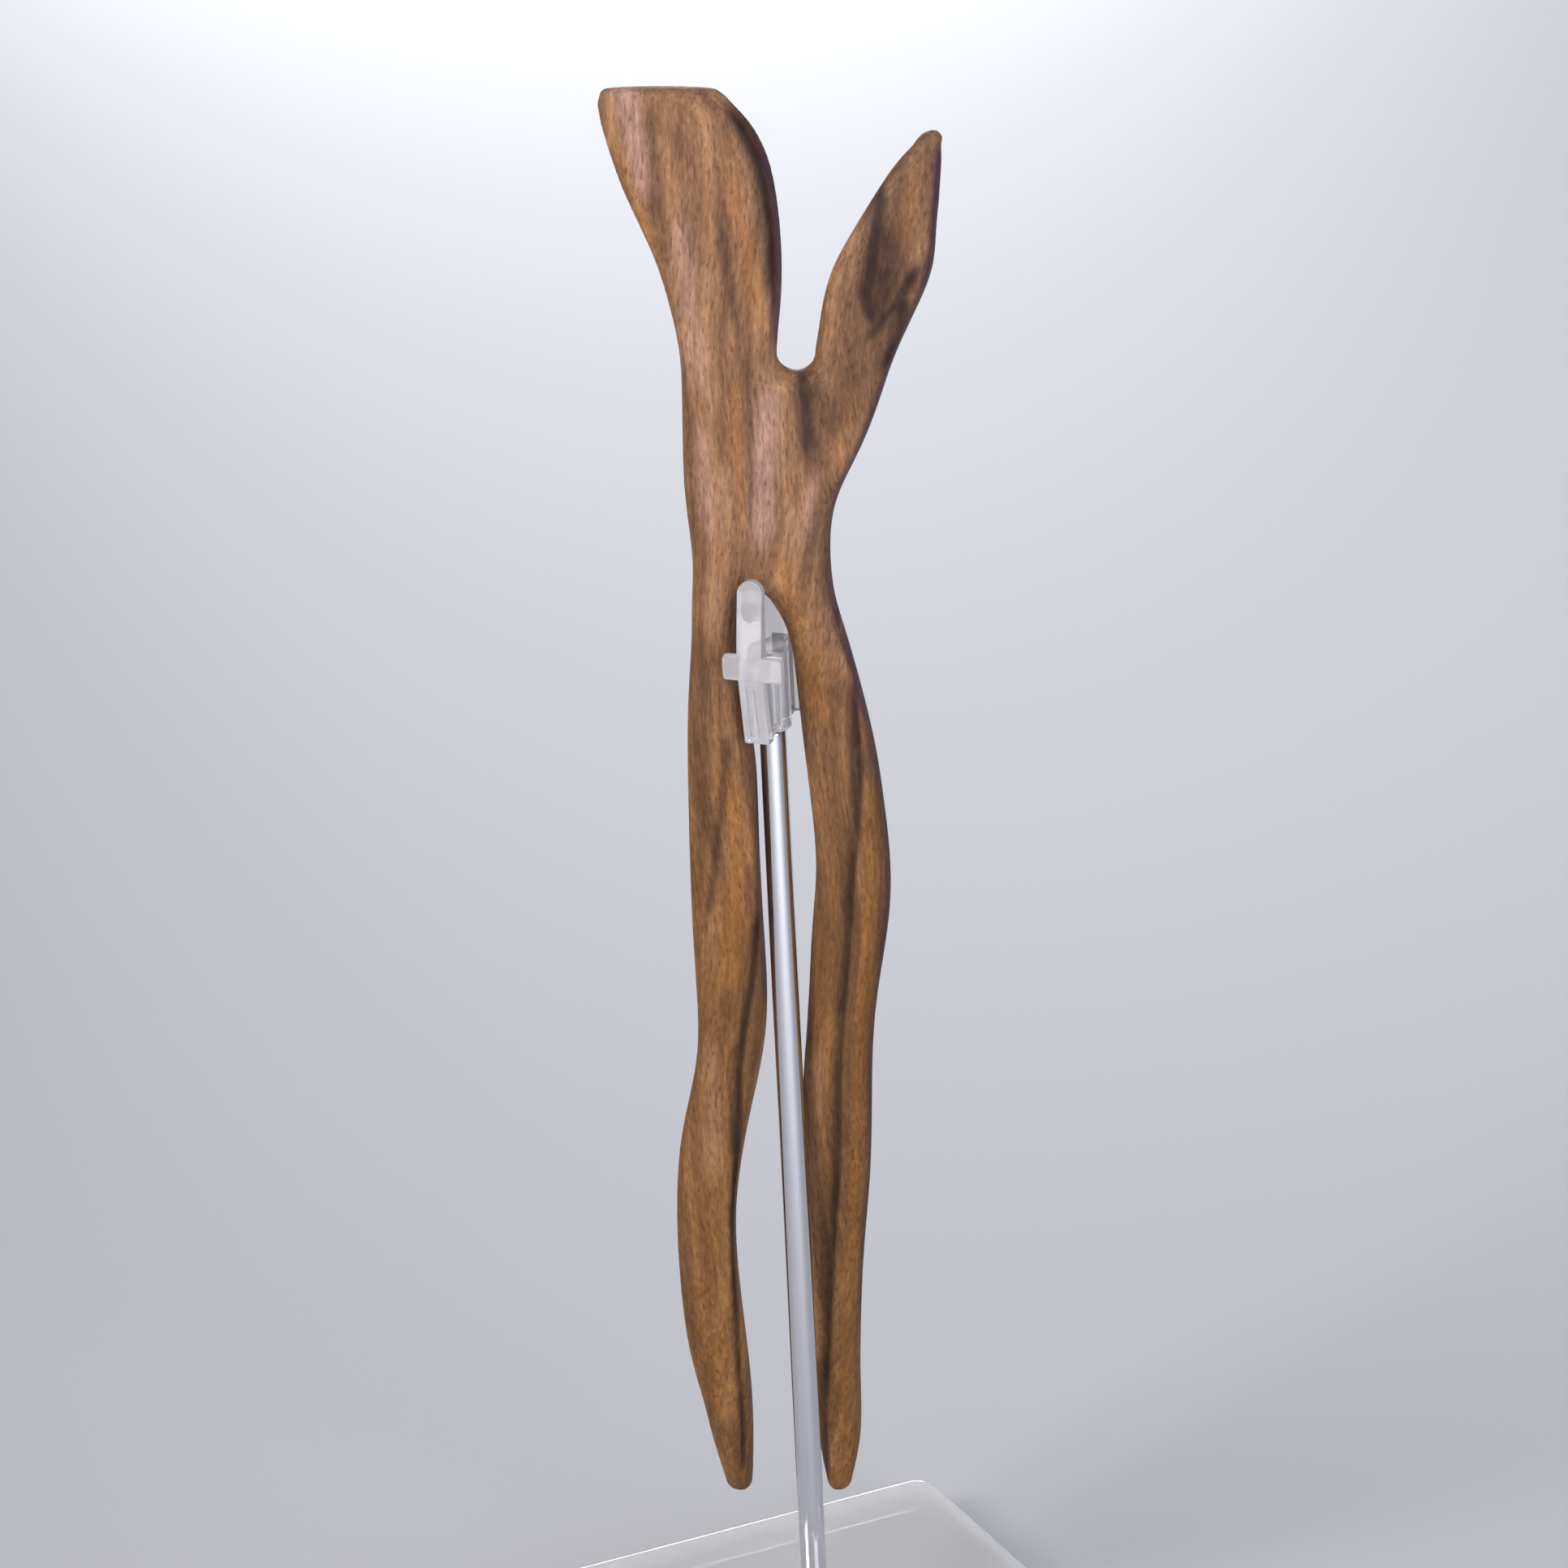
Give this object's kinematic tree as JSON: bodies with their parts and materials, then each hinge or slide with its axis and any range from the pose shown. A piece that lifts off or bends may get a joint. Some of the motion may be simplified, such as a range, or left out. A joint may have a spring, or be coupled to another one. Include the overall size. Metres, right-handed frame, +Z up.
{
  "type": "wooden hair fork on a display stand",
  "caption": "Two-pronged carved wooden hair fork with a forked head, hung by its crotch on a clear clip at the top of a thin steel rod in a clear square slab.",
  "frame": {"origin": "middle of the slab's underside, straight below the place where the rod leaves the slab's top", "axes": "+Z up, -Y towards the front of the fork, +X to the right of the fork seen from the front, towards its pointed lobe"},
  "size_m": [0.0794, 0.0794, 0.1841],
  "materials": {
    "walnut": "oiled walnut, satin, dark grain along the prongs",
    "clear_clip": "clear moulded plastic",
    "polished_steel": "polished",
    "clear_slab": "clear polished acrylic"
  },
  "bodies": {
    "root": {"hair_fork": "walnut", "clip_front_jaw": "clear_clip", "clip_body": "clear_clip", "rod": "polished_steel", "base": "clear_slab"}
  },
  "joints": []
}
